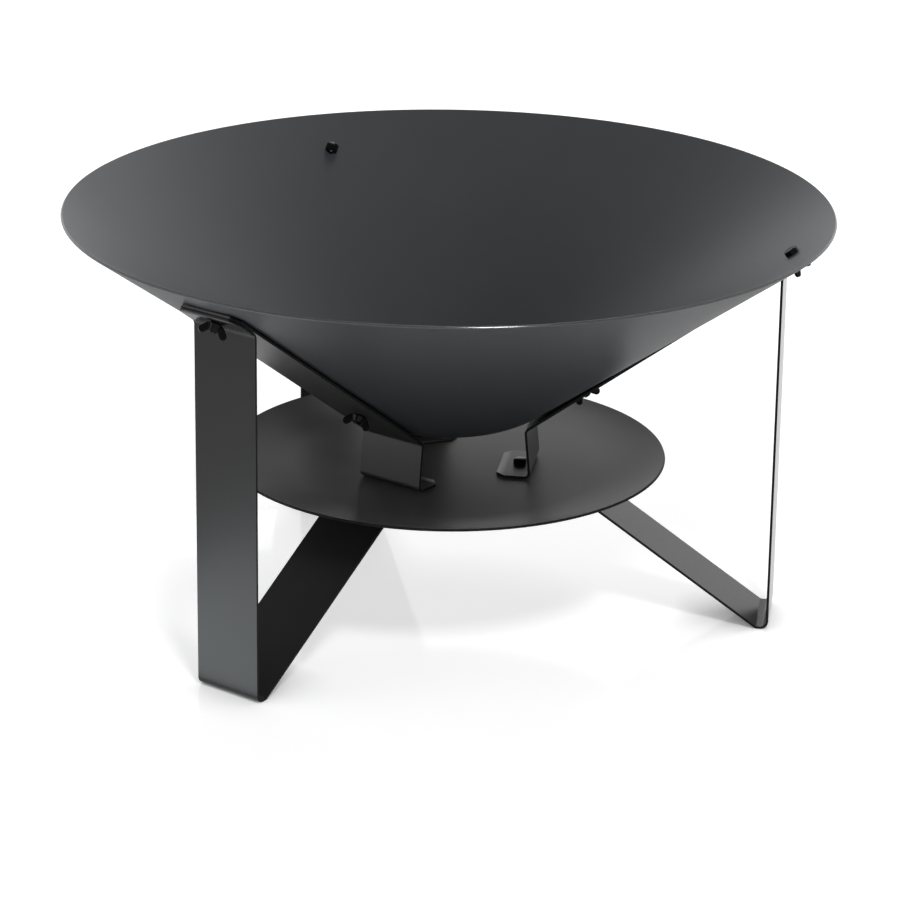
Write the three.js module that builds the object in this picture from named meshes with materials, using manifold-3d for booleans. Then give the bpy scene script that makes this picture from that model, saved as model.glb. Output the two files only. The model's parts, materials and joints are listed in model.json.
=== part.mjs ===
// A fire bowl: a wide spun bowl carried by three bent strip legs, with a shallow ash dish between the legs.
// Millimetres, +Z up, the origin on the floor under the middle of the bowl, leg 1 towards +X.
import * as THREE from "three";
import { mergeVertices } from "three/addons/utils/BufferGeometryUtils.js";
import Module from "manifold-3d";

const wasm = await Module();
wasm.setup();

// Driving sizes of the sheet pieces
const sheet = 2;
const gap = 0.3;

const rimRadius = 303;
const bowlDepth = 175.6;
const bowlAboveDish = 34.9;
const crownRadius = 280;
const crownAngle = THREE.MathUtils.degToRad(11);
const knuckleRadius = 75;

const dishRadius = 175;
const dishRimHeight = 124;
const dishRise = 9.4;
const dishFlatRadius = 123;

const legCount = 3;
const stripWidth = 60;
const rimOverhang = 38;
const kneeRadius = 98.8;
const footDepth = 8.9;
const footBend = 4.6;
const foldBend = 3;
const shoulderBend = 5;
const tabChamfer = 7;
const tabPastBolt = 16;
const bracketPastBolt = 12.2;
const bracketLean = THREE.MathUtils.degToRad(5.4);

// Driving sizes of the fasteners
const rimBoltPastUpright = 6;
const armBoltRadius = 107.5;
const dishBoltRadius = 60;
const shankRadius = 3;
const shankChamfer = 0.6;
const boltPastNut = 1.2;
const headAcrossFlats = 10;
const headHeight = 4;
const headChamfer = 0.9;
const nutHeight = 5.8;
const nutBaseRadius = 5.2;
const nutTopRadius = 4.3;
const nutCollarHeight = 1.2;
const wingSpan = 22;
const wingHeight = 10;
const wingThickness = 2.4;
const wingRounding = 2.8;
const wingRootRadius = 5;
const wingRootHeight = 3.3;
const hexSides = 6;

// How far each wing nut is turned round its bolt, in degrees, for legs 1, 2 and 3
const rimNutTurns = [120, 20, 50];
const armNutTurns = [0, 40, 60];
const dishNutTurns = [0, 30, 60];

// How finely the rounds are divided
const roundSegments = 96;
const boltSegments = 16;
const bendSteps = 5;
const crownSteps = 2;
const knuckleSteps = 5;
const dishEdgeSteps = 5;
const wingSteps = 8;
const weldDistance = 1e-3;

// Coats: matte powder coat on the sheet pieces, glossier black on the fasteners
const powderCoat = { color: 0x3d3e40, metalness: 0.2, roughness: 0.72 };
const blackFastener = { color: 0x141416, metalness: 0.4, roughness: 0.35 };

// Heights and radii that the sizes above give
const sheetMiddle = sheet / 2;
const layer = sheet + gap;
const holeRadius = shankRadius + gap;
const dishTop = dishRimHeight - dishRise;
const dishUnderside = dishTop - sheet;
const bowlBottom = dishTop + bowlAboveDish;
const rimOuterHeight = bowlBottom + bowlDepth;
const uprightRadius = rimRadius - rimOverhang;
const uprightMiddle = uprightRadius - sheetMiddle;
const rimBoltRadius = uprightRadius + rimBoltPastUpright;

// The bowl's outer face: a crown about one centre, a knuckle about another, and a wall from there to the rim
const knuckleReach = crownRadius - knuckleRadius;
const crownCentre = new THREE.Vector2(0, bowlBottom + crownRadius);
const knuckleCentre = new THREE.Vector2(
  knuckleReach * Math.sin(crownAngle),
  crownCentre.y - knuckleReach * Math.cos(crownAngle),
);
const knuckleToRim = new THREE.Vector2(rimRadius, rimOuterHeight).sub(
  knuckleCentre,
);
const wallSlope =
  knuckleToRim.angle() + Math.asin(knuckleRadius / knuckleToRim.length());
const wallRise = Math.tan(wallSlope);
const wallCos = Math.cos(wallSlope);
const wallSin = Math.sin(wallSlope);
const wallApexHeight = rimOuterHeight - rimRadius * wallRise;

// Height of a line that runs under the bowl's wall, at a distance from the wall's outer face
function heightUnderWall(radius, outward) {
  return wallApexHeight + radius * wallRise - outward / wallCos;
}

// A point near the wall: from a radius on its outer face, along the slope and then outwards
function wallPoint(radius, along, outward) {
  return new THREE.Vector2(
    radius + along * wallCos + outward * wallSin,
    heightUnderWall(radius, 0) + along * wallSin - outward * wallCos,
  );
}

// Points on a circle, from one angle to another, both measured from straight down
function arcPoints(centre, radius, from, to, steps) {
  const points = [];
  for (let i = 0; i <= steps; i++) {
    const angle = THREE.MathUtils.lerp(from, to, i / steps);
    points.push(
      new THREE.Vector2(
        centre.x + radius * Math.sin(angle),
        centre.y - radius * Math.cos(angle),
      ),
    );
  }
  return points;
}

// A geometry as a closed solid, its shared corners welded and its empty triangles dropped
function solidOf(geometry) {
  const bare = geometry.clone();
  bare.deleteAttribute("normal");
  bare.deleteAttribute("uv");
  const welded = mergeVertices(bare, weldDistance);
  const corners = welded.index.array;
  const kept = [];
  for (let i = 0; i < corners.length; i += 3) {
    const [a, b, c] = corners.slice(i, i + 3);
    if (a !== b && b !== c && c !== a) {
      kept.push(a, b, c);
    }
  }
  return new wasm.Manifold(
    new wasm.Mesh({
      numProp: 3,
      vertProperties: welded.attributes.position.array,
      triVerts: new Uint32Array(kept),
    }),
  );
}

function geometryOf(solid) {
  const mesh = solid.getMesh();
  const geometry = new THREE.BufferGeometry();
  geometry.setAttribute(
    "position",
    new THREE.BufferAttribute(mesh.vertProperties, mesh.numProp),
  );
  geometry.setIndex(new THREE.BufferAttribute(mesh.triVerts, 1));
  geometry.computeVertexNormals();
  return geometry;
}

// A closed profile, given as radius and height, turned round the Z axis
function turned(profile, segments) {
  const geometry = new THREE.LatheGeometry(profile, segments);
  geometry.rotateX(Math.PI / 2);
  return solidOf(geometry);
}

function piece(name, solid, coat) {
  const mesh = new THREE.Mesh(
    geometryOf(solid),
    new THREE.MeshStandardMaterial(coat),
  );
  mesh.name = name;
  return mesh;
}

// Where the three kinds of bolt sit: a face that the bolt crosses, the turn that points local Z to the nut,
// and how many sheets it clamps on the head's side and on the nut's side of that face
const rimStation = {
  radius: rimBoltRadius,
  height: heightUnderWall(rimBoltRadius, 0),
  tilt: Math.PI - wallSlope,
  sheetsAtHead: 1,
  sheetsAtNut: 2,
};
const armStation = {
  radius: armBoltRadius,
  height: heightUnderWall(armBoltRadius, 0),
  tilt: Math.PI - wallSlope,
  sheetsAtHead: 1,
  sheetsAtNut: 1,
};
const dishStation = {
  radius: dishBoltRadius,
  height: dishUnderside,
  tilt: Math.PI,
  sheetsAtHead: 2,
  sheetsAtNut: 1,
};

function stationMatrix(station) {
  const place = new THREE.Object3D();
  place.position.set(station.radius, 0, station.height);
  place.rotation.y = station.tilt;
  place.updateMatrix();
  return place.matrix;
}

// The cutter of a bolt hole, long enough for all the sheets that the bolt clamps
function boltHole(station, legTurn = 0) {
  const sheets = station.sheetsAtHead + station.sheetsAtNut;
  const reach = sheets * layer + headHeight;
  const cutter = new THREE.CylinderGeometry(
    holeRadius,
    holeRadius,
    2 * reach,
    boltSegments,
  );
  cutter.rotateX(Math.PI / 2);
  cutter.applyMatrix4(stationMatrix(station));
  cutter.rotateZ(legTurn);
  return solidOf(cutter);
}

function legTurn(index) {
  return (index * 2 * Math.PI) / legCount;
}

// Bowl: one sheet, its edge cut square to the wall
function bowlSide(inset) {
  const crown = arcPoints(
    crownCentre,
    crownRadius - inset,
    0,
    crownAngle,
    crownSteps,
  );
  const knuckle = arcPoints(
    knuckleCentre,
    knuckleRadius - inset,
    crownAngle,
    wallSlope,
    knuckleSteps,
  );
  const rim = new THREE.Vector2(
    rimRadius - inset * wallSin,
    rimOuterHeight + inset * wallCos,
  );
  return [...crown, ...knuckle.slice(1), rim];
}

function makeBowl() {
  let bowl = turned(
    [...bowlSide(0), ...bowlSide(sheet).reverse()],
    roundSegments,
  );
  for (let i = 0; i < legCount; i++) {
    bowl = bowl.subtract(boltHole(rimStation, legTurn(i)));
    bowl = bowl.subtract(boltHole(armStation, legTurn(i)));
  }
  return bowl;
}

// Ash dish: a flat middle whose edge curves up
const dishEdgeWidth = dishRadius - dishFlatRadius;
const dishEdgeRadius = (dishEdgeWidth ** 2 + dishRise ** 2) / (2 * dishRise);
const dishEdgeAngle = Math.asin(dishEdgeWidth / dishEdgeRadius);
const dishEdgeCentre = new THREE.Vector2(
  dishFlatRadius,
  dishTop + dishEdgeRadius,
);

function dishSide(drop) {
  const middle = new THREE.Vector2(0, dishTop - drop);
  const edge = arcPoints(
    dishEdgeCentre,
    dishEdgeRadius + drop,
    0,
    dishEdgeAngle,
    dishEdgeSteps,
  );
  return [middle, ...edge];
}

function makeDish() {
  let dish = turned(
    [...dishSide(sheet), ...dishSide(0).reverse()],
    roundSegments,
  );
  for (let i = 0; i < legCount; i++) {
    dish = dish.subtract(boltHole(dishStation, legTurn(i)));
  }
  return dish;
}

// One face of a bent strip seen edge-on: its middle line moved sideways, with a round bend at each corner
function stripFace(corners, bends, aside) {
  const points = [];
  const last = corners.length - 1;
  const heading = (i) => corners[i + 1].clone().sub(corners[i]).normalize();
  const leftOf = (way) => new THREE.Vector2(-way.y, way.x);
  points.push(corners[0].clone().addScaledVector(leftOf(heading(0)), aside));
  for (let i = 1; i < last; i++) {
    const before = heading(i - 1);
    const after = heading(i);
    const turn = Math.atan2(before.cross(after), before.dot(after));
    const hand = Math.sign(turn);
    const radius = bends[i - 1] + sheetMiddle;
    const toCentre = leftOf(before).multiplyScalar(hand);
    const centre = corners[i]
      .clone()
      .addScaledVector(before, -radius * Math.tan(Math.abs(turn) / 2))
      .addScaledVector(toCentre, radius);
    for (let step = 0; step <= bendSteps; step++) {
      const spoke = toCentre
        .clone()
        .negate()
        .rotateAround(new THREE.Vector2(), (turn * step) / bendSteps);
      points.push(centre.clone().addScaledVector(spoke, radius - hand * aside));
    }
  }
  const end = leftOf(heading(last - 1));
  points.push(corners[last].clone().addScaledVector(end, aside));
  return points;
}

// Takes both corners off the end of a strip that arrives there along a heading
function tabCorners(end, before) {
  const way = end.clone().sub(before);
  const side = tabChamfer * Math.SQRT2;
  const cutters = [-1, 1].map((hand) => {
    const cutter = new THREE.BoxGeometry(side, side, side);
    cutter.rotateZ(Math.PI / 4);
    cutter.translate(0, (hand * stripWidth) / 2, 0);
    cutter.rotateY(-way.angle());
    cutter.translate(end.x, 0, end.y);
    return solidOf(cutter);
  });
  return cutters[0].add(cutters[1]);
}

// A strip bent along its corners, with chamfered ends and the holes of its bolts
function bentStrip(corners, bends, stations) {
  const outline = new THREE.Shape([
    ...stripFace(corners, bends, sheetMiddle),
    ...stripFace(corners, bends, -sheetMiddle).reverse(),
  ]);
  const body = new THREE.ExtrudeGeometry(outline, {
    depth: stripWidth,
    bevelEnabled: false,
  });
  body.rotateX(Math.PI / 2);
  body.translate(0, stripWidth / 2, 0);
  const last = corners.length - 1;
  let strip = solidOf(body)
    .subtract(tabCorners(corners[0], corners[1]))
    .subtract(tabCorners(corners[last], corners[last - 1]));
  for (const station of stations) {
    strip = strip.subtract(boltHole(station));
  }
  return strip;
}

// Leg: a tab under the rim, an upright, a foot bend, a diagonal and a pad under the ash dish
function makeLeg() {
  const underArm = layer + gap + sheetMiddle;
  const padHeight = dishUnderside - gap - sheetMiddle;
  const tabEnd = wallPoint(rimBoltRadius, tabPastBolt, underArm);
  const shoulder = new THREE.Vector2(
    uprightMiddle,
    heightUnderWall(uprightMiddle, underArm),
  );
  const footOuter = new THREE.Vector2(uprightMiddle, sheetMiddle);
  const footInner = new THREE.Vector2(uprightMiddle - footDepth, sheetMiddle);
  const knee = new THREE.Vector2(kneeRadius, padHeight);
  const padEnd = new THREE.Vector2(dishBoltRadius - tabPastBolt, padHeight);
  return bentStrip(
    [tabEnd, shoulder, footOuter, footInner, knee, padEnd],
    [shoulderBend, footBend, footBend, foldBend],
    [rimStation, dishStation],
  );
}

// Arm: a strip along the underside of the wall, folded down to a short bracket and a foot tab on the ash dish
function makeArm() {
  const underBowl = gap + sheetMiddle;
  const footHeight = dishTop + gap + sheetMiddle;
  const footRadius = dishBoltRadius + bracketPastBolt - sheetMiddle;
  const lean = Math.tan(bracketLean);
  const rimEnd = wallPoint(rimBoltRadius, tabPastBolt, underBowl);
  const foldRise = heightUnderWall(footRadius, underBowl) - footHeight;
  const foldHeight = footHeight + foldRise / (1 + lean * wallRise);
  const fold = new THREE.Vector2(
    footRadius - (foldHeight - footHeight) * lean,
    foldHeight,
  );
  const foot = new THREE.Vector2(footRadius, footHeight);
  const footEnd = new THREE.Vector2(dishBoltRadius - tabPastBolt, footHeight);
  return bentStrip(
    [rimEnd, fold, foot, footEnd],
    [foldBend, foldBend],
    [rimStation, armStation, dishStation],
  );
}

// Bolt: a chamfered hexagon head with its seat at the first clamped sheet, and a plain shank past the nut
function nutSeat(station) {
  return station.sheetsAtNut * layer + gap;
}

function makeBolt(station) {
  const headSeat = -station.sheetsAtHead * layer;
  const headTop = headSeat - headHeight;
  const tip = nutSeat(station) + nutHeight + boltPastNut;
  const cornerRadius = headAcrossFlats / 2 / Math.cos(Math.PI / hexSides);
  const prism = new THREE.CylinderGeometry(
    cornerRadius,
    cornerRadius,
    headHeight,
    hexSides,
  );
  prism.rotateX(Math.PI / 2);
  prism.translate(0, 0, (headSeat + headTop) / 2);
  const faceRadius = cornerRadius - headChamfer;
  const rounding = turned(
    [
      new THREE.Vector2(0, headTop),
      new THREE.Vector2(faceRadius, headTop),
      new THREE.Vector2(cornerRadius, headTop + headChamfer / 2),
      new THREE.Vector2(cornerRadius, headSeat),
      new THREE.Vector2(0, headSeat),
    ],
    2 * boltSegments,
  );
  const shank = turned(
    [
      new THREE.Vector2(0, (headSeat + headTop) / 2),
      new THREE.Vector2(shankRadius, (headSeat + headTop) / 2),
      new THREE.Vector2(shankRadius, tip - shankChamfer),
      new THREE.Vector2(shankRadius - shankChamfer, tip),
      new THREE.Vector2(0, tip),
    ],
    boltSegments,
  );
  return solidOf(prism).intersect(rounding).add(shank);
}

// Wing nut: a tapered hub on a round collar, with two ears that splay upwards and have round ends
function makeWingNut() {
  const hub = turned(
    [
      new THREE.Vector2(0, 0),
      new THREE.Vector2(nutBaseRadius, 0),
      new THREE.Vector2(nutBaseRadius, nutCollarHeight),
      new THREE.Vector2(nutTopRadius, nutHeight),
      new THREE.Vector2(0, nutHeight),
    ],
    boltSegments,
  );
  const root = new THREE.Vector2(wingRootRadius, wingRootHeight);
  const tip = new THREE.Vector2(
    wingSpan / 2 - wingRounding,
    wingHeight - wingRounding,
  );
  const splay = tip.clone().sub(root).angle();
  const quarter = Math.PI / 2;
  const outline = new THREE.Shape();
  outline.absarc(tip.x, tip.y, wingRounding, splay - quarter, splay + quarter);
  outline.absarc(
    root.x,
    root.y,
    wingRounding,
    splay + quarter,
    splay + Math.PI + quarter,
  );
  let nut = hub;
  for (const hand of [0, Math.PI]) {
    const wing = new THREE.ExtrudeGeometry(outline, {
      depth: wingThickness,
      bevelEnabled: false,
      curveSegments: wingSteps,
    });
    wing.translate(0, 0, -wingThickness / 2);
    wing.rotateX(Math.PI / 2);
    wing.rotateZ(hand);
    nut = nut.add(solidOf(wing));
  }
  const bore = new THREE.CylinderGeometry(
    holeRadius,
    holeRadius,
    2 * wingSpan,
    boltSegments,
  );
  bore.rotateX(Math.PI / 2);
  return nut.subtract(solidOf(bore));
}

// Puts a bolt and its wing nut in the frame of their station
function fastener(station, label, legNumber, nutTurn) {
  const place = new THREE.Group();
  place.position.set(station.radius, 0, station.height);
  place.rotation.y = station.tilt;
  const bolt = piece(`${label}_bolt_${legNumber}`, makeBolt(station), blackFastener);
  const nut = piece(
    `${label}_wing_nut_${legNumber}`,
    makeWingNut(),
    blackFastener,
  );
  nut.position.z = nutSeat(station);
  nut.rotation.z = THREE.MathUtils.degToRad(nutTurn);
  place.add(bolt, nut);
  return place;
}

const fireBowl = new THREE.Group();
fireBowl.add(piece("fire_bowl", makeBowl(), powderCoat));
fireBowl.add(piece("ash_dish", makeDish(), powderCoat));
for (let i = 0; i < legCount; i++) {
  const number = i + 1;
  const side = new THREE.Group();
  side.rotation.z = legTurn(i);
  side.add(
    piece(`leg_${number}`, makeLeg(), powderCoat),
    piece(`arm_${number}`, makeArm(), powderCoat),
    fastener(rimStation, "rim", number, rimNutTurns[i]),
    fastener(armStation, "arm", number, armNutTurns[i]),
    fastener(dishStation, "dish", number, dishNutTurns[i]),
  );
  fireBowl.add(side);
}

export default fireBowl;
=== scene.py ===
import json
import math

import bmesh
import bpy
from mathutils import Matrix, Vector


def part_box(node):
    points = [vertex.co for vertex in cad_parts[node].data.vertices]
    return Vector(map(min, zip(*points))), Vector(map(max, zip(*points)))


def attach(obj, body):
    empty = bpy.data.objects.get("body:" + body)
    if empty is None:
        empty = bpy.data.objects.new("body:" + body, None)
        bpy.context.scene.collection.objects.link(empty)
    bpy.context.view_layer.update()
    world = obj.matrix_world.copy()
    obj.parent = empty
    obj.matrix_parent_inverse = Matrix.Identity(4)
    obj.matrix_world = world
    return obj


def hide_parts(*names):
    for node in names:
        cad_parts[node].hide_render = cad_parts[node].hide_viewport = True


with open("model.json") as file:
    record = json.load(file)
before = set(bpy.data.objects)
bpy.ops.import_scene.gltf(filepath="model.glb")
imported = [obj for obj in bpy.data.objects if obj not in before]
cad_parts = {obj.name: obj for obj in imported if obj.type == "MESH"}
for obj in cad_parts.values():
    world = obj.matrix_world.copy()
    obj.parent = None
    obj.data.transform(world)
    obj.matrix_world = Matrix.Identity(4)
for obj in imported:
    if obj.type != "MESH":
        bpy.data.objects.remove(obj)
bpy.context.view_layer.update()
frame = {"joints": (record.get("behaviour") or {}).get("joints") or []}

# Camera
# A long lens looks down on the bowl from about 8 degrees right of its front, so that leg 3 stands at the left
# and leg 1 at the right. The picture is square, and its middle lies a little off the lens axis.
camera_place = Vector((0.3968, -2.7653, 1.1359))
camera_turn = math.radians(8.069)
camera_down = math.radians(19.90)
camera_roll = math.radians(0.742)
picture_side = 915
lens_axis_pixel = (451.89, 449.71)
focal_pixels = 3704.8

camera_data = bpy.data.cameras.new("camera")
camera_data.sensor_width = 36
camera_data.lens = camera_data.sensor_width * focal_pixels / picture_side
camera_data.shift_x = 0.5 - lens_axis_pixel[0] / picture_side
camera_data.shift_y = lens_axis_pixel[1] / picture_side - 0.5
camera = bpy.data.objects.new("camera", camera_data)
camera.matrix_world = (
    Matrix.Translation(camera_place)
    @ Matrix.Rotation(camera_turn, 4, "Z")
    @ Matrix.Rotation(math.pi / 2 - camera_down, 4, "X")
    @ Matrix.Rotation(camera_roll, 4, "Z")
)
bpy.context.scene.collection.objects.link(camera)
bpy.context.scene.camera = camera

bpy.context.scene.view_settings.view_transform = "Standard"

# Stage
# A pale, faintly glossy floor runs past the picture on every side, in a white room, brightest low down.
# Soft lamps hang behind and in front, and weaker ones stand at the left. Two cards lie on the floor, a pale
# blue one by the left leg and a white one behind it.
stage_centre = Vector((0, 0, 0.15))
floor_radius = 9
floor_sides = 64
floor_white = (0.9, 0.9, 0.9, 1)
floor_glow = 0.45
floor_mirrored_glow = 0.1
floor_gloss = 0.12
floor_gloss_roughness = 0.08
floor_contact_reach = 0.04
floor_contact_samples = 8
room_low = 0.15
room_high = 0.75
room_fill_low = 1.8
room_fill_high = 0.0
room_gloss_low = 0.15
room_gloss_high = 0.75
room_gloss_white = 1.2
room_gloss_dim = 0.14
room_white = (1, 1, 1, 1)


def add_node(tree, kind, inputs=(), **settings):
    """A new node with its settings, each of the inputs given a value or joined to another node's output."""
    node = tree.nodes.new(kind)
    for name, value in settings.items():
        setattr(node, name, value)
    for key, value in dict(inputs).items():
        if isinstance(value, bpy.types.NodeSocket):
            tree.links.new(value, node.inputs[key])
        else:
            node.inputs[key].default_value = value
    return node


def add_math(tree, operation, *values):
    """The output of a Math node with these values or outputs going in."""
    return add_node(tree, "ShaderNodeMath", enumerate(values), operation=operation).outputs[0]


def new_material(name):
    """A material with an empty node tree, and that tree."""
    material = bpy.data.materials.new(name)
    material.use_nodes = True
    material.node_tree.nodes.clear()
    return material, material.node_tree


def add_lamp(name, place, size, power, target=stage_centre, tint=(1, 1, 1)):
    """A square soft lamp that faces a target, which is the middle of the bowl unless it is given."""
    lamp = bpy.data.lights.new(name, "AREA")
    lamp.shape = "SQUARE"
    lamp.size = size
    lamp.energy = power
    lamp.color = tint
    holder = bpy.data.objects.new(name, lamp)
    holder.visible_camera = False
    aim = Vector(target) - Vector(place)
    holder.matrix_world = Matrix.Translation(place) @ aim.to_track_quat("-Z", "Y").to_matrix().to_4x4()
    bpy.context.scene.collection.objects.link(holder)


world = bpy.data.worlds.new("white_room")
world.use_nodes = True
room = world.node_tree
room.nodes.clear()
room_path = add_node(room, "ShaderNodeLightPath")
room_way = add_node(room, "ShaderNodeTexCoord").outputs["Generated"]
room_rise = add_node(room, "ShaderNodeSeparateXYZ", {0: room_way}).outputs["Z"]


def fade_upwards(low, high, bright, dim):
    """A strength that falls from one level to another as the way looked rises between two slopes."""
    limits = {"From Min": low, "From Max": high, "To Min": bright, "To Max": dim}
    return add_node(room, "ShaderNodeMapRange", {"Value": room_rise, **limits}).outputs["Result"]


room_fill = fade_upwards(room_low, room_high, room_fill_low, room_fill_high)
room_gloss = fade_upwards(room_gloss_low, room_gloss_high, room_gloss_white, room_gloss_dim)
room_seen = add_node(
    room, "ShaderNodeMix", {"Factor": room_path.outputs["Is Glossy Ray"], 2: room_fill, 3: room_gloss}
)
room_strength = add_math(room, "MAXIMUM", room_seen.outputs[0], room_path.outputs["Is Camera Ray"])
room_light = add_node(room, "ShaderNodeBackground", {"Color": room_white, "Strength": room_strength})
add_node(room, "ShaderNodeOutputWorld", {"Surface": room_light.outputs[0]})
bpy.context.scene.world = world

add_lamp("lamp_behind", place=(0, 2.2, 2.4), size=1.2, power=26.5)
add_lamp("lamp_behind_left", place=(-1.2, 2.5, 1.1), size=0.8, power=0.9)
add_lamp("lamp_left", place=(-2.0, -0.9, 0.9), size=0.5, power=2.8)
add_lamp("lamp_front", place=(0.92, -2.07, 2.77), size=0.6, power=45)
add_lamp(
    "floor_card",
    place=(-0.241, -0.287, 0.02),
    size=0.19,
    power=0.27,
    target=(-0.141, -0.114, 1.0),
    tint=(0.88, 0.96, 1.0),
)
add_lamp("back_card", place=(-0.22, 0.155, 0.01), size=0.1, power=0.025, target=(-0.11, -0.19, 0.26))

floor_mesh = bpy.data.meshes.new("floor")
floor_shape = bmesh.new()
bmesh.ops.create_circle(floor_shape, cap_ends=True, segments=floor_sides, radius=floor_radius)
floor_shape.to_mesh(floor_mesh)
floor_shape.free()
floor = bpy.data.objects.new("floor", floor_mesh)
bpy.context.scene.collection.objects.link(floor)
floor_material, floor_tree = new_material("pale_floor")
floor_lit = add_node(floor_tree, "ShaderNodeBsdfDiffuse", {"Color": floor_white})
floor_shine = add_node(
    floor_tree, "ShaderNodeBsdfAnisotropic", {"Color": room_white, "Roughness": floor_gloss_roughness}
)
floor_body = add_node(
    floor_tree, "ShaderNodeMixShader", {0: floor_gloss, 1: floor_lit.outputs[0], 2: floor_shine.outputs[0]}
)
floor_path = add_node(floor_tree, "ShaderNodeLightPath")
floor_bent = add_math(
    floor_tree, "MAXIMUM", floor_path.outputs["Is Glossy Ray"], floor_path.outputs["Is Transmission Ray"]
)
# The floor's glow is dimmed by ambient occlusion where the object is near: a painted contact shadow on the
# floor.
floor_painted_contact_shade = add_node(
    floor_tree, "ShaderNodeAmbientOcclusion", {"Distance": floor_contact_reach}, samples=floor_contact_samples
).outputs["AO"]
floor_seen_glow = add_math(floor_tree, "MULTIPLY", floor_path.outputs["Is Camera Ray"], floor_glow)
floor_glow_with_painted_shade = add_math(floor_tree, "MULTIPLY", floor_seen_glow, floor_painted_contact_shade)
floor_lift = add_math(floor_tree, "MULTIPLY_ADD", floor_bent, floor_mirrored_glow, floor_glow_with_painted_shade)
floor_bright = add_node(floor_tree, "ShaderNodeEmission", {"Color": room_white, "Strength": floor_lift})
floor_seen = add_node(
    floor_tree, "ShaderNodeAddShader", {0: floor_body.outputs[0], 1: floor_bright.outputs[0]}
)
floor_back = add_node(floor_tree, "ShaderNodeBsdfTransparent")
floor_side = add_node(floor_tree, "ShaderNodeNewGeometry")
floor_face = add_node(
    floor_tree,
    "ShaderNodeMixShader",
    {0: floor_side.outputs["Backfacing"], 1: floor_seen.outputs[0], 2: floor_back.outputs[0]},
)
add_node(floor_tree, "ShaderNodeOutputMaterial", {"Surface": floor_face.outputs[0]})
floor.data.materials.append(floor_material)

# Bowl
# One steel sheet, spun to a cone with a low crown and a soft knuckle, its rim cut square to the wall.
# It is powder coated in matte anthracite, and six bolts through its wall hold it to the legs and arms.
sheet = 0.002
sheet_gap = 0.0003
crown_radius = 0.28
crown_angle = math.radians(11)
knuckle_radius = 0.075
edge_rounding = 0.0004
edge_support = 0.0008
crown_steps = 10
knuckle_steps = 14
wall_steps = 16
edge_steps = 3
turn_steps = 288
swing_radius = 0.05
weld_distance = 1e-6
edge_share = 0.6
hole_radius = 0.0033
hole_reach = 0.024
hole_sides = 32
sharp_angle = math.radians(35)
leg_numbers = (1, 2, 3)
bowl_finish = {"coat": (0.028, 0.031, 0.035, 1), "roughness": 0.42, "mottle": 0.3, "dust": 0.03}
# The rim's cut edge takes a lighter, glossier copy of the bowl's coat: a painted highlight along the rim.
rim_highlight_finish = {"coat": (0.05, 0.0505, 0.0515, 1), "roughness": 0.15, "mottle": 0.5, "dust": 0.0, "ior": 1.6}

joints = {joint["name"]: joint for joint in frame["joints"]}


def station(label, leg):
    """Where a bolt crosses the outer face of the sheet that it carries, and its way towards the nut."""
    joint = joints[f"{label}_wing_nut_{leg}_turn"]
    return Vector(joint["pos_m"]), Vector(joint["axis"])


def arc_points(centre, radius, start, end, steps):
    """Points on a circle between two angles, which are measured from straight down."""
    points = []
    for i in range(steps + 1):
        angle = start + (end - start) * i / steps
        points.append(centre + radius * Vector((math.sin(angle), -math.cos(angle))))
    return points


def rounded_corner(before, corner, after, radius, steps):
    """Points that round a square corner between its two neighbours."""
    back = (before - corner).normalized() * radius
    ahead = (after - corner).normalized() * radius
    centre = corner + back + ahead
    points = []
    for i in range(steps + 1):
        angle = math.pi / 2 * i / steps
        points.append(centre - ahead * math.cos(angle) - back * math.sin(angle))
    return points


def edge_points(outer_before, outer, inner, inner_before):
    """A sheet's cut edge: a support line on one face, two rounded corners, a support line on the other."""
    support = (outer_before - outer).normalized() * edge_support
    first = rounded_corner(outer_before, outer, inner, edge_rounding, edge_steps)
    second = rounded_corner(outer, inner, inner_before, edge_rounding, edge_steps)
    return [outer + support], first + second, [inner + support]


def new_draft(name, points, edges, faces=()):
    """A linked object with a mesh of these points, edges and faces."""
    mesh = bpy.data.meshes.new(name)
    mesh.from_pydata(points, edges, faces)
    draft = bpy.data.objects.new(name, mesh)
    bpy.context.scene.collection.objects.link(draft)
    return draft


def new_maker(name, sizes):
    """A Geometry Nodes tree with a geometry and named sizes going in, and a geometry coming out."""
    tree = bpy.data.node_groups.new(name, "GeometryNodeTree")
    tree.interface.new_socket("Geometry", in_out="INPUT", socket_type="NodeSocketGeometry")
    tree.interface.new_socket("Geometry", in_out="OUTPUT", socket_type="NodeSocketGeometry")
    for label, kind in sizes.items():
        tree.interface.new_socket(label, in_out="INPUT", socket_type=f"NodeSocket{kind}")
    return tree, tree.nodes.new("NodeGroupInput").outputs


def coat_all(tree, geometry, sizes):
    """A geometry made real and smooth, with the coat on every face."""
    real = add_node(tree, "GeometryNodeRealizeInstances", {"Geometry": geometry})
    smooth = add_node(tree, "GeometryNodeSetShadeSmooth", {"Geometry": real.outputs[0]})
    coated = add_node(
        tree, "GeometryNodeSetMaterial", {"Geometry": smooth.outputs[0], "Material": sizes["Coat"]}
    )
    return coated.outputs[0]


def coat_faces(tree, geometry, cut_edges, sizes):
    """Ends a tree: the coat goes on every face, and the edge coat on the sheet's cut edges."""
    edged = add_node(
        tree,
        "GeometryNodeSetMaterial",
        {"Geometry": coat_all(tree, geometry, sizes), "Selection": cut_edges, "Material": sizes["Edge Coat"]},
    )
    add_node(tree, "NodeGroupOutput", {"Geometry": edged.outputs[0]})


def run_maker(draft, tree, values):
    """Puts a tree on a draft, with its inputs given by name."""
    modifier = draft.modifiers.new(tree.name, "NODES")
    modifier.node_group = tree
    for item in tree.interface.items_tree:
        if item.in_out == "INPUT" and item.name in values:
            modifier[item.identifier] = values[item.name]


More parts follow.
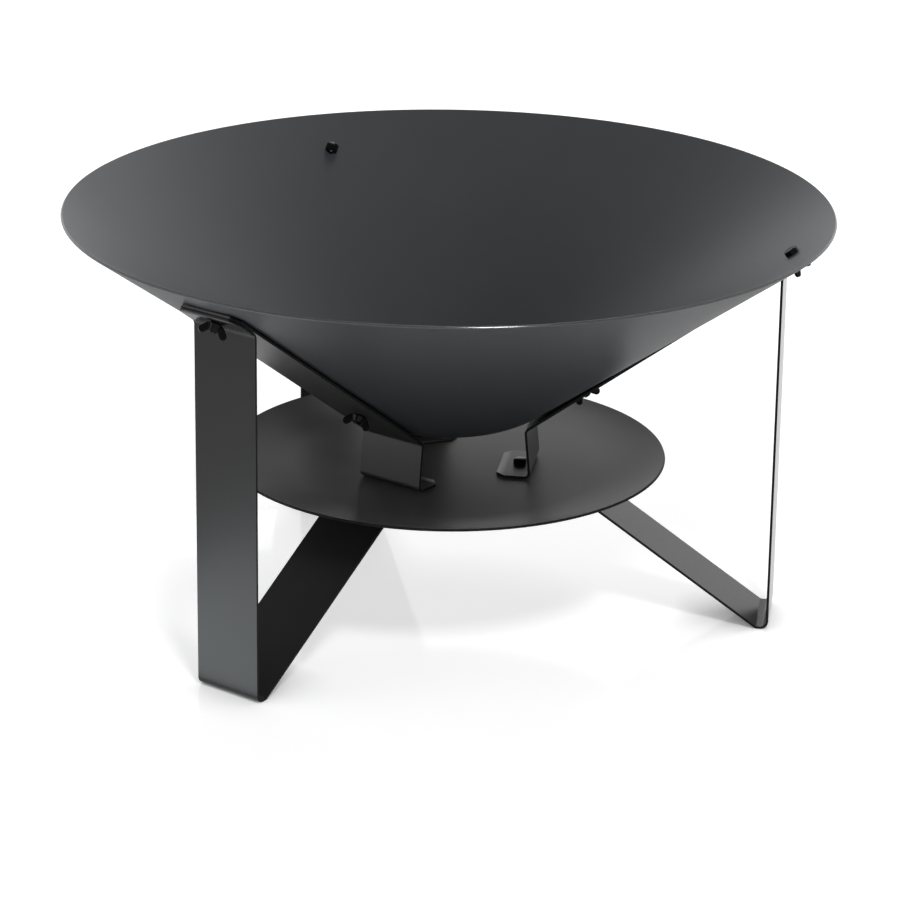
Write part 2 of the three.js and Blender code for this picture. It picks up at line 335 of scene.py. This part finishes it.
def drill(draft, holes):
    """Cuts a round hole through a draft at each place, along each way."""
    shape = bmesh.new()
    for place, way in holes:
        bmesh.ops.create_cone(
            shape,
            cap_ends=True,
            segments=hole_sides,
            radius1=hole_radius,
            radius2=hole_radius,
            depth=hole_reach,
            matrix=Matrix.Translation(place) @ way.to_track_quat("Z", "Y").to_matrix().to_4x4(),
        )
    cutter = new_draft("cutter", [], [])
    shape.to_mesh(cutter.data)
    shape.free()
    cut = draft.modifiers.new("holes", "BOOLEAN")
    cut.operation = "DIFFERENCE"
    cut.solver = "EXACT"
    cut.object = cutter


def plain_piece(name, draft):
    """The finished draft as a plain mesh object, with sharp corners marked; the draft and its cutters go."""
    depsgraph = bpy.context.evaluated_depsgraph_get()
    mesh = bpy.data.meshes.new_from_object(draft.evaluated_get(depsgraph), depsgraph=depsgraph)
    mesh.name = name
    mesh.set_sharp_from_angle(angle=sharp_angle)
    piece = bpy.data.objects.new(name, mesh)
    bpy.context.scene.collection.objects.link(piece)
    for modifier in draft.modifiers:
        if modifier.type == "BOOLEAN":
            bpy.data.objects.remove(modifier.object)
    bpy.data.objects.remove(draft)
    return piece


# The spun sheet: the outline is swung round the Z axis, its poles are closed, and its faces are coated
spun_sheet, sizes = new_maker(
    "spun_sheet",
    {"Turn Steps": "Int", "Swing Radius": "Float", "Coat": "Material", "Edge Coat": "Material"},
)
outline = add_node(spun_sheet, "GeometryNodeMeshToCurve", {"Mesh": sizes["Geometry"]})
circle = add_node(
    spun_sheet,
    "GeometryNodeCurvePrimitiveCircle",
    {"Resolution": sizes["Turn Steps"], "Radius": sizes["Swing Radius"]},
    mode="RADIUS",
)
swung = add_node(
    spun_sheet,
    "GeometryNodeCurveToMesh",
    {"Curve": circle.outputs["Curve"], "Profile Curve": outline.outputs["Curve"]},
)
closed = add_node(
    spun_sheet, "GeometryNodeMergeByDistance", {"Geometry": swung.outputs[0], "Distance": weld_distance}
)
on_edge = add_node(spun_sheet, "GeometryNodeInputNamedAttribute", {"Name": "cut_edge"}, data_type="FLOAT")
edge_faces = add_math(spun_sheet, "GREATER_THAN", on_edge.outputs["Attribute"], edge_share)
coat_faces(spun_sheet, closed.outputs[0], edge_faces, sizes)


def spun_draft(name, outer, inner, values):
    """A draft of a spun sheet from its two faces, both given from the axis to the edge."""
    lead, edge, tail = edge_points(outer[-2], outer[-1], inner[-1], inner[-2])
    line = outer[:-1] + lead + edge + tail + inner[-2::-1]
    marks = [0.0] * len(outer) + [1.0] * len(edge) + [0.0] * len(inner)
    points = [(radius - swing_radius, -height, 0) for radius, height in line]
    draft = new_draft(name, points, [(i, i + 1) for i in range(len(points) - 1)])
    draft.data.attributes.new("cut_edge", "FLOAT", "POINT").data.foreach_set("value", marks)
    run_maker(draft, spun_sheet, {"Turn Steps": turn_steps, "Swing Radius": swing_radius, **values})
    return draft


# The powder coat's fine grain, its slow change of shade, and the dust that settles on level faces
coat_grain = bpy.data.node_groups.new("coat_grain", "ShaderNodeTree")
for label, kind in {"Coat": "Color", "Roughness": "Float", "Mottle": "Float", "Dust": "Float"}.items():
    coat_grain.interface.new_socket(label, in_out="INPUT", socket_type=f"NodeSocket{kind}")
for label, kind in {"Color": "Color", "Roughness": "Float", "Height": "Float"}.items():
    coat_grain.interface.new_socket(label, in_out="OUTPUT", socket_type=f"NodeSocket{kind}")
peel_scale = 420
peel_detail = 1.0
grain_scale = 1700
grain_detail = 2.0
grain_shading = 0.2
grain_roughening = 0.12
grain_height = 0.5
cloud_scale = 6
cloud_detail = 3.0
dust_scale = 38
dust_detail = 6.0
dust_shade = (0.30, 0.29, 0.27, 1)
dust_roughening = 0.6
dust_level_none = 0.75
dust_level_full = 1.0
dust_speck_none = -0.1
dust_speck_full = 0.35
noise_middle = 0.5
grain_in = add_node(coat_grain, "NodeGroupInput").outputs
where = add_node(coat_grain, "ShaderNodeTexCoord").outputs["Object"]


def noise(tree, place, scale, detail):
    """The value of a noise texture of a size, centred on zero."""
    texture = add_node(tree, "ShaderNodeTexNoise", {"Vector": place, "Scale": scale, "Detail": detail})
    return add_math(tree, "SUBTRACT", texture.outputs["Fac"], noise_middle)


peel = noise(coat_grain, where, peel_scale, peel_detail)
grain = noise(coat_grain, where, grain_scale, grain_detail)
cloud = noise(coat_grain, where, cloud_scale, cloud_detail)
speck = noise(coat_grain, where, dust_scale, dust_detail)
shade = add_math(coat_grain, "MULTIPLY_ADD", cloud, grain_in["Mottle"], 1.0)
fine_shade = add_math(coat_grain, "MULTIPLY_ADD", grain, grain_shading, shade)
shaded = add_node(
    coat_grain,
    "ShaderNodeVectorMath",
    {0: grain_in["Coat"], "Scale": fine_shade},
    operation="SCALE",
)
facing = add_node(coat_grain, "ShaderNodeNewGeometry").outputs["Normal"]
upward = add_node(coat_grain, "ShaderNodeSeparateXYZ", {0: facing}).outputs["Z"]
level = add_node(
    coat_grain,
    "ShaderNodeMapRange",
    {"Value": upward, "From Min": dust_level_none, "From Max": dust_level_full},
).outputs["Result"]
settled = add_node(
    coat_grain,
    "ShaderNodeMapRange",
    {"Value": speck, "From Min": dust_speck_none, "From Max": dust_speck_full},
).outputs["Result"]
dusted = add_math(coat_grain, "MULTIPLY", add_math(coat_grain, "MULTIPLY", level, settled), grain_in["Dust"])
final_shade = add_node(
    coat_grain,
    "ShaderNodeMix",
    {"Factor": dusted, 6: shaded.outputs[0], 7: dust_shade},
    data_type="RGBA",
)
bare_roughness = add_math(coat_grain, "MULTIPLY_ADD", grain, grain_roughening, grain_in["Roughness"])
roughness = add_math(coat_grain, "MULTIPLY_ADD", dusted, dust_roughening, bare_roughness)
bumps = add_math(coat_grain, "MULTIPLY_ADD", grain, grain_height, peel)
add_node(
    coat_grain, "NodeGroupOutput", {"Color": final_shade.outputs[2], "Roughness": roughness, "Height": bumps}
)

coat_ior = 1.5
grain_depth = 0.00001
graze_power = 2.0


def coat_material(name, coat, roughness, mottle, dust, polish=0.0, ior=coat_ior):
    """A painted finish: one colour, broken up by the coat's grain, that looks smoother at a low angle."""
    material, tree = new_material(name)
    grain = add_node(tree, "ShaderNodeGroup", node_tree=coat_grain)
    values = {"Coat": coat, "Roughness": roughness, "Mottle": mottle, "Dust": dust}
    for label, value in values.items():
        grain.inputs[label].default_value = value
    bump = add_node(
        tree, "ShaderNodeBump", {"Height": grain.outputs["Height"], "Distance": grain_depth, "Strength": 1.0}
    )
    angle = add_node(tree, "ShaderNodeLayerWeight")
    graze = add_math(tree, "POWER", angle.outputs["Facing"], graze_power)
    smoother = add_math(tree, "MULTIPLY_ADD", graze, -polish, 1.0)
    paint = add_node(
        tree,
        "ShaderNodeBsdfPrincipled",
        {
            "Base Color": grain.outputs["Color"],
            "Roughness": add_math(tree, "MULTIPLY", grain.outputs["Roughness"], smoother),
            "IOR": ior,
            "Normal": bump.outputs["Normal"],
        },
    )
    add_node(tree, "ShaderNodeOutputMaterial", {"Surface": paint.outputs[0]})
    return material


bowl_low, bowl_high = (Vector(corner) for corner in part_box("fire_bowl"))
rim_axis = station("rim", 1)[1]
wall_slope = math.atan2(rim_axis.x, -rim_axis.z)
wall_way = Vector((math.cos(wall_slope), math.sin(wall_slope)))
wall_out = Vector((math.sin(wall_slope), -math.cos(wall_slope)))
rim_radius = bowl_high.x
rim_point = Vector((rim_radius, bowl_high.z - sheet * wall_way.x))
crown_centre = Vector((0, bowl_low.z + crown_radius))
knuckle_centre = arc_points(crown_centre, crown_radius - knuckle_radius, 0, crown_angle, 1)[1]


def bowl_face(inset):
    """One face of the bowl from the axis to the rim, at a distance inside the outer face."""
    crown = arc_points(crown_centre, crown_radius - inset, 0, crown_angle, crown_steps)
    knuckle = arc_points(knuckle_centre, knuckle_radius - inset, crown_angle, wall_slope, knuckle_steps)
    rim = rim_point - wall_out * inset
    wall = [knuckle[-1].lerp(rim, i / wall_steps) for i in range(1, wall_steps + 1)]
    return crown + knuckle[1:] + wall


bowl_material = coat_material("bowl_powder_coat", **bowl_finish)
# The rim's edge coat is a painted highlight, lighter and glossier than the bowl's coat.
rim_highlight_material = coat_material("bowl_rim_painted_highlight", **rim_highlight_finish)
bowl_draft = spun_draft(
    "bowl_draft", bowl_face(0), bowl_face(sheet), {"Coat": bowl_material, "Edge Coat": rim_highlight_material}
)
drill(bowl_draft, [station(label, leg) for label in ("rim", "arm") for leg in leg_numbers])
bowl = plain_piece("spun_bowl", bowl_draft)
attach(bowl, "stand")
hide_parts("fire_bowl")

# Ash dish
# A second spun sheet, flat in the middle, with an edge that curves up a little to hold the ash.
# It is clamped between the pads of the legs and the feet of the arms, by one bolt at each leg.
dish_radius = 0.175
dish_flat_radius = 0.123
dish_edge_steps = 16
dish_flat_steps = 6
dish_finish = {"coat": (0.04, 0.0387, 0.0382, 1), "roughness": 0.42, "mottle": 0.3, "dust": 0.05, "ior": 1.35}
# The near-black coat on the cut edges of the dish and the strips is painted shade, for the dark lines along
# those edges.
edge_painted_shade_finish = {
    "coat": (0.003, 0.003, 0.003, 1),
    "roughness": 0.5,
    "mottle": 0.3,
    "dust": 0.0,
    "ior": 1.25,
}

dish_low, dish_high = (Vector(corner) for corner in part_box("ash_dish"))
dish_top = dish_low.z + sheet
dish_rise = dish_high.z - dish_top
dish_edge_width = dish_radius - dish_flat_radius
dish_edge_radius = (dish_edge_width**2 + dish_rise**2) / (2 * dish_rise)
dish_edge_angle = math.asin(dish_edge_width / dish_edge_radius)
dish_edge_centre = Vector((dish_flat_radius, dish_top + dish_edge_radius))


def dish_face(drop):
    """One face of the dish from the axis to the edge, at a distance below the top face."""
    edge = arc_points(dish_edge_centre, dish_edge_radius + drop, 0, dish_edge_angle, dish_edge_steps)
    middle = Vector((0, dish_top - drop))
    return [middle.lerp(edge[0], i / dish_flat_steps) for i in range(dish_flat_steps)] + edge


dish_material = coat_material("dish_powder_coat", **dish_finish)
# The cut edges' coat is painted shade, darker than the faces beside them.
edge_painted_shade_material = coat_material("cut_edge_painted_shade", **edge_painted_shade_finish)
dish_draft = spun_draft(
    "dish_draft", dish_face(sheet), dish_face(0), {"Coat": dish_material, "Edge Coat": edge_painted_shade_material}
)
drill(dish_draft, [station("dish", leg) for leg in leg_numbers])
dish = plain_piece("spun_ash_dish", dish_draft)
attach(dish, "stand")
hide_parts("ash_dish")

# Legs
# Each leg is one steel strip: a tab bolted under the rim, an upright, a square fold that is the foot,
# and a diagonal that rises to a pad bolted under the ash dish. Its corners are cut and its edges eased.
strip_width = 0.06
strip_layer = sheet + sheet_gap
rim_overhang = 0.038
knee_radius = 0.0988
foot_depth = 0.0089
foot_bend = 0.0046
fold_bend = 0.003
shoulder_bend = 0.005
tab_chamfer = 0.007
tab_past_bolt = 0.016
bend_steps = 8
strip_easing = 0.0003
strip_easing_steps = 2
path_middle = 0.5
end_distance = 0.49999
side_lean = 0.5
leg_finish = {
    "coat": (0.008, 0.0078, 0.0078, 1),
    "roughness": 0.4,
    "mottle": 0.3,
    "dust": 0.02,
    "polish": 0.85,
    "ior": 1.4,
}

# The bent strip: a bar of the sheet's section follows its path round each bend, and its end corners are cut
bent_strip, sizes = new_maker(
    "bent_strip",
    {
        "Width": "Float",
        "Thickness": "Float",
        "Bend Steps": "Int",
        "Chamfer": "Float",
        "Coat": "Material",
        "Edge Coat": "Material",
    },
)
path = add_node(bent_strip, "GeometryNodeMeshToCurve", {"Mesh": sizes["Geometry"]})
bend = add_node(bent_strip, "GeometryNodeInputNamedAttribute", {"Name": "bend"}, data_type="FLOAT")
bent = add_node(
    bent_strip,
    "GeometryNodeFilletCurve",
    {"Curve": path.outputs[0], "Radius": bend.outputs["Attribute"], "Count": sizes["Bend Steps"]},
    mode="POLY",
)
factor = add_node(bent_strip, "GeometryNodeSplineParameter")
marked = add_node(bent_strip, "GeometryNodeCaptureAttribute")
marked.capture_items.new("FLOAT", "Along")
bent_strip.links.new(bent.outputs[0], marked.inputs["Geometry"])
bent_strip.links.new(factor.outputs["Factor"], marked.inputs["Along"])
section = add_node(
    bent_strip,
    "GeometryNodeCurvePrimitiveQuadrilateral",
    {"Width": sizes["Width"], "Height": sizes["Thickness"]},
    mode="RECTANGLE",
)
bar = add_node(
    bent_strip,
    "GeometryNodeCurveToMesh",
    {"Curve": marked.outputs["Geometry"], "Profile Curve": section.outputs[0], "Fill Caps": True},
)
past_middle = add_math(bent_strip, "SUBTRACT", marked.outputs["Along"], path_middle)
at_end = add_math(bent_strip, "GREATER_THAN", add_math(bent_strip, "ABSOLUTE", past_middle), end_distance)
half_width = add_math(bent_strip, "MULTIPLY", sizes["Width"], 0.5)
narrowed = add_math(bent_strip, "SUBTRACT", half_width, sizes["Chamfer"])
narrowed_share = add_math(bent_strip, "DIVIDE", narrowed, half_width)
narrowing = add_node(bent_strip, "ShaderNodeCombineXYZ", {"X": 1.0, "Y": narrowed_share, "Z": 1.0})
here = add_node(bent_strip, "GeometryNodeInputPosition")
moved = add_node(
    bent_strip, "ShaderNodeVectorMath", {0: here.outputs[0], 1: narrowing.outputs[0]}, operation="MULTIPLY"
)
chamfered = add_node(
    bent_strip,
    "GeometryNodeSetPosition",
    {"Geometry": bar.outputs[0], "Selection": at_end, "Position": moved.outputs[0]},
)
normal = add_node(bent_strip, "GeometryNodeInputNormal")
sideways = add_node(bent_strip, "ShaderNodeSeparateXYZ", {0: normal.outputs[0]}).outputs["Y"]
side_face = add_math(bent_strip, "GREATER_THAN", add_math(bent_strip, "ABSOLUTE", sideways), side_lean)
coat_faces(bent_strip, chamfered.outputs[0], side_face, sizes)


def strip_draft(name, corners, bends, holes, values):
    """A draft of a bent strip, from its corners and the inner radius of the bend at each."""
    start = corners[0] + (corners[1] - corners[0]).normalized() * tab_chamfer
    end = corners[-1] + (corners[-2] - corners[-1]).normalized() * tab_chamfer
    line = [corners[0], start, *corners[1:-1], end, corners[-1]]
    radii = [0, 0] + [radius + sheet / 2 for radius in bends] + [0, 0]
    points = [(radius, 0, height) for radius, height in line]
    draft = new_draft(name, points, [(i, i + 1) for i in range(len(points) - 1)])
    draft.data.attributes.new("bend", "FLOAT", "POINT").data.foreach_set("value", radii)
    sizes = {"Width": strip_width, "Thickness": sheet, "Bend Steps": bend_steps, "Chamfer": tab_chamfer}
    run_maker(draft, bent_strip, {**sizes, **values})
    drill(draft, holes)
    easing = draft.modifiers.new("easing", "BEVEL")
    easing.width = strip_easing
    easing.segments = strip_easing_steps
    easing.limit_method = "ANGLE"
    easing.angle_limit = sharp_angle
    easing.material = 0
    flats = draft.modifiers.new("flats", "WEIGHTED_NORMAL")
    flats.keep_sharp = True
    return draft


def leg_turn(leg):
    """The turn round the Z axis that carries leg 1 onto another leg."""
    return Matrix.Rotation((leg - 1) * math.tau / len(leg_numbers), 4, "Z")


def placed_copy(piece, name, matrix):
    """A copy of a finished piece with its mesh moved to another place."""
    copy = bpy.data.objects.new(name, piece.data.copy())
    copy.data.transform(matrix)
    bpy.context.scene.collection.objects.link(copy)
    return copy


def flat_point(place):
    """A place of leg 1 as a distance from the axis and a height."""
    return Vector((place.x, place.z))


rim_place = flat_point(station("rim", 1)[0])
dish_place = flat_point(station("dish", 1)[0])


def under_wall(place, along, outward):
    """A point near the bowl's wall, from a place on it, along the slope and then away from the wall."""
    return place + wall_way * along + wall_out * outward


def below_wall(radius, outward):
    """The point at a distance from the axis, on a line that runs under the wall."""
    start = under_wall(rim_place, 0, outward)
    return start + wall_way * ((radius - start.x) / wall_way.x)


under_arm = strip_layer + sheet_gap + sheet / 2
upright_middle = rim_radius - rim_overhang - sheet / 2
pad_height = dish_place.y - sheet_gap - sheet / 2
leg_corners = [
    under_wall(rim_place, tab_past_bolt, under_arm),
    below_wall(upright_middle, under_arm),
    Vector((upright_middle, sheet / 2)),
    Vector((upright_middle - foot_depth, sheet / 2)),
    Vector((knee_radius, pad_height)),
    Vector((dish_place.x - tab_past_bolt, pad_height)),
]
leg_bends = [shoulder_bend, foot_bend, foot_bend, fold_bend]
leg_material = coat_material("leg_powder_coat", **leg_finish)
leg_draft = strip_draft(
    "leg_draft",
    leg_corners,
    leg_bends,
    [station("rim", 1), station("dish", 1)],
    {"Coat": leg_material, "Edge Coat": edge_painted_shade_material},
)
first_leg = plain_piece("first_leg", leg_draft)
for leg in leg_numbers:
    strip = placed_copy(first_leg, f"bent_leg_{leg}", leg_turn(leg))
    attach(strip, "stand")
    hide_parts(f"leg_{leg}")
bpy.data.objects.remove(first_leg)

# Arms
# Each arm is a strip that lies along the underside of the wall, from the rim's bolt past the wall's own bolt.
# It then folds down to a short bracket and a foot tab, which is bolted to the ash dish.
bracket_past_bolt = 0.0122
bracket_lean = math.radians(5.4)
arm_finish = {
    "coat": (0.006, 0.0058, 0.0058, 1),
    "roughness": 0.55,
    "mottle": 0.3,
    "dust": 0.02,
    "polish": 0.4,
    "ior": 1.8,
}

under_bowl = sheet_gap + sheet / 2
foot_height = dish_top + sheet_gap + sheet / 2
foot_radius = dish_place.x + bracket_past_bolt - sheet / 2
lean = math.tan(bracket_lean)
fold_rise = below_wall(foot_radius, under_bowl).y - foot_height
fold_height = fold_rise / (1 + lean * math.tan(wall_slope))
arm_corners = [
    under_wall(rim_place, tab_past_bolt, under_bowl),
    Vector((foot_radius - fold_height * lean, foot_height + fold_height)),
    Vector((foot_radius, foot_height)),
    Vector((dish_place.x - tab_past_bolt, foot_height)),
]
arm_material = coat_material("arm_powder_coat", **arm_finish)
arm_draft = strip_draft(
    "arm_draft",
    arm_corners,
    [fold_bend, fold_bend],
    [station("rim", 1), station("arm", 1), station("dish", 1)],
    {"Coat": arm_material, "Edge Coat": edge_painted_shade_material},
)
first_arm = plain_piece("first_arm", arm_draft)
for leg in leg_numbers:
    strip = placed_copy(first_arm, f"bent_arm_{leg}", leg_turn(leg))
    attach(strip, "stand")
    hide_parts(f"arm_{leg}")
bpy.data.objects.remove(first_arm)

# Bolts
# Nine black M6 hexagon bolts, heads up: three go through the rim, three through the wall, three through the
# dish. Each head is forged with a chamfered top, and the thread is rolled up to a chamfered tip.
head_across_flats = 0.01
head_height = 0.004
head_chamfer_start = 0.0046
head_chamfer_slope = math.tan(math.radians(30))
shank_radius = 0.003
shank_chamfer = 0.0006
thread_pitch = 0.001
thread_depth = 0.0005
thread_rows = 8
bolt_past_nut = 0.0012
nut_height = 0.0058
bolt_segments = 48
hex_sides = 6
sheets_at_head = {"rim": 1, "arm": 1, "dish": 2}
sheets_at_nut = {"rim": 2, "arm": 1, "dish": 1}
hardware_finish = {
    "coat": (0.003, 0.003, 0.0032, 1),
    "roughness": 0.16,
    "mottle": 0.5,
    "dust": 0.0,
    "ior": 1.2,
}


def nut_seat(label):
    """How far along its bolt a wing nut sits from the bolt's place."""
    return sheets_at_nut[label] * strip_layer + sheet_gap


def station_matrix(label, leg):
    """The frame of a bolt: Z runs to the nut, and X towards the axis of the bowl."""
    place, way = station(label, leg)
    slope = math.atan2(way.xy.length, -way.z)
    return Matrix.Translation(place) @ leg_turn(leg) @ Matrix.Rotation(math.pi - slope, 4, "Y")


def hex_radius(angle):
    """The radius of a hexagon at an angle."""
    half_side = math.pi / hex_sides
    return head_across_flats / 2 / math.cos((angle + half_side) % (2 * half_side) - half_side)


def thread_ring(height, depth):
    """A ring of the thread at a height, with its ridge cut to a depth."""
    ring = []
    for i in range(bolt_segments):
        phase = (height / thread_pitch - i / bolt_segments) % 1
        ring.append((shank_radius - depth * abs(2 * phase - 1), height))
    return ring


def round_ring(radius, height):
    """A plain ring."""
    return [(radius, height)] * bolt_segments


def bolt_rings(label):
    """The rings of a bolt from the top of its head to its tip."""
    seat = -sheets_at_head[label] * strip_layer
    top = seat - head_height
    tip = nut_seat(label) + nut_height + bolt_past_nut
    corners = [hex_radius(math.tau * i / bolt_segments) for i in range(bolt_segments)]
    shoulders = [(r, top + (r - head_chamfer_start) * head_chamfer_slope) for r in corners]
    rings = [round_ring(head_chamfer_start, top), shoulders, [(r, seat) for r in corners]]
    rings += [round_ring(shank_radius, seat), round_ring(shank_radius, nut_seat(label))]
    threaded = nut_height + bolt_past_nut - shank_chamfer
    rows = round(threaded / thread_pitch * thread_rows)
    for row in range(1, rows + 1):
        fade = min(1, row / thread_rows)
        rings.append(thread_ring(nut_seat(label) + threaded * row / rows, thread_depth * fade))
    rings.append(round_ring(shank_radius - shank_chamfer, tip))
    return top, rings, tip


def ringed_faces(shape, start, rings, end, matrix):
    """Adds a closed form to a bmesh, from a point on its axis through its rings to another."""
    corners = []
    for ring in rings:
        row = []
        for i, (radius, height) in enumerate(ring):
            angle = math.tau * i / bolt_segments
            place = Vector((radius * math.cos(angle), radius * math.sin(angle), height))
            row.append(shape.verts.new(matrix @ place))
        corners.append(row)
    first = shape.verts.new(matrix @ Vector((0, 0, start)))
    last = shape.verts.new(matrix @ Vector((0, 0, end)))
    for i in range(bolt_segments):
        j = (i + 1) % bolt_segments
        shape.faces.new((first, corners[0][j], corners[0][i]))
        for low, high in zip(corners, corners[1:]):
            shape.faces.new((low[i], low[j], high[j], high[i]))
        shape.faces.new((last, corners[-1][i], corners[-1][j]))


# The tree that repeats what is modelled at leg 1 round the legs
round_the_legs, sizes = new_maker("round_the_legs", {"Legs": "Int", "Coat": "Material"})
spots = add_node(round_the_legs, "GeometryNodePoints", {"Count": sizes["Legs"]})
which = add_node(round_the_legs, "GeometryNodeInputIndex").outputs[0]
turn_each = add_math(round_the_legs, "DIVIDE", math.tau, sizes["Legs"])
turned = add_node(
    round_the_legs, "ShaderNodeCombineXYZ", {"Z": add_math(round_the_legs, "MULTIPLY", which, turn_each)}
)
repeated = add_node(
    round_the_legs,
    "GeometryNodeInstanceOnPoints",
    {"Points": spots.outputs[0], "Instance": sizes["Geometry"], "Rotation": turned.outputs[0]},
)
coated = coat_all(round_the_legs, repeated.outputs[0], sizes)
add_node(round_the_legs, "NodeGroupOutput", {"Geometry": coated})

hardware_material = coat_material("hardware_black", **hardware_finish)
bolt_shape = bmesh.new()
for label in sheets_at_head:
    start, rings, end = bolt_rings(label)
    ringed_faces(bolt_shape, start, rings, end, station_matrix(label, 1))
bmesh.ops.recalc_face_normals(bolt_shape, faces=bolt_shape.faces)
bolt_draft = new_draft("bolt_draft", [], [])
bolt_shape.to_mesh(bolt_draft.data)
bolt_shape.free()
run_maker(bolt_draft, round_the_legs, {"Legs": len(leg_numbers), "Coat": hardware_material})
bolts = plain_piece("hex_bolts", bolt_draft)
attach(bolts, "stand")
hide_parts(*[f"{label}_bolt_{leg}" for label in sheets_at_head for leg in leg_numbers])

# Wing nuts
# Nine small cast wing nuts, black like the bolts, each with a tapered hub and two ears that splay upwards.
# They are turned on by hand, so each stops where it grips the sheet.
nut_base_radius = 0.0052
nut_top_radius = 0.0043
nut_collar_height = 0.0012
nut_edge = 0.0004
wing_span = 0.022
wing_height = 0.01
wing_thickness = 0.0024
wing_rounding = 0.0028
wing_root = Vector((0.005, 0.0033))
wing_steps = 12
cast_grain = 0.00025
cast_smoothing = 8
nut_turns = {"rim": (120, 20, 50), "arm": (0, 40, 60), "dish": (0, 30, 60)}

nut_shape = bmesh.new()
hub_rings = [
    round_ring(nut_base_radius - nut_edge, 0),
    round_ring(nut_base_radius, nut_edge),
    round_ring(nut_base_radius, nut_collar_height),
    round_ring(nut_top_radius, nut_height - nut_edge),
    round_ring(nut_top_radius - nut_edge, nut_height),
]
ringed_faces(nut_shape, 0, hub_rings, nut_height, Matrix())
wing_tip = Vector((wing_span / 2 - wing_rounding, wing_height - wing_rounding))
splay = math.atan2(wing_tip.y - wing_root.y, wing_tip.x - wing_root.x)
for hand in (1, -1):
    outline = []
    for centre, start in ((wing_tip, splay), (wing_root, splay + math.pi)):
        outline += arc_points(centre, wing_rounding, start, start + math.pi, wing_steps)
    sides = []
    for aside in (-wing_thickness / 2, wing_thickness / 2):
        sides.append([nut_shape.verts.new((hand * x, aside, z)) for x, z in outline])
    for side in sides:
        nut_shape.faces.new(side)
    for i in range(len(outline)):
        j = (i + 1) % len(outline)
        nut_shape.faces.new((sides[0][i], sides[0][j], sides[1][j], sides[1][i]))
bmesh.ops.recalc_face_normals(nut_shape, faces=nut_shape.faces)
nut_draft = new_draft("nut_draft", [], [])
nut_shape.to_mesh(nut_draft.data)
nut_shape.free()
nut_draft.data.materials.append(hardware_material)
casting = nut_draft.modifiers.new("casting", "REMESH")
casting.mode = "VOXEL"
casting.voxel_size = cast_grain
casting.use_smooth_shade = True
fettling = nut_draft.modifiers.new("fettling", "SMOOTH")
fettling.iterations = cast_smoothing
drill(nut_draft, [(Vector(), Vector((0, 0, 1)))])
first_nut = plain_piece("first_nut", nut_draft)
for label, turns in nut_turns.items():
    for leg, turn in zip(leg_numbers, turns):
        node = f"{label}_wing_nut_{leg}"
        matrix = station_matrix(label, leg) @ Matrix.Translation((0, 0, nut_seat(label)))
        matrix = matrix @ Matrix.Rotation(math.radians(turn), 4, "Z")
        nut = placed_copy(first_nut, f"cast_{node}", matrix)
        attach(nut, node)
        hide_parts(node)
bpy.data.objects.remove(first_nut)
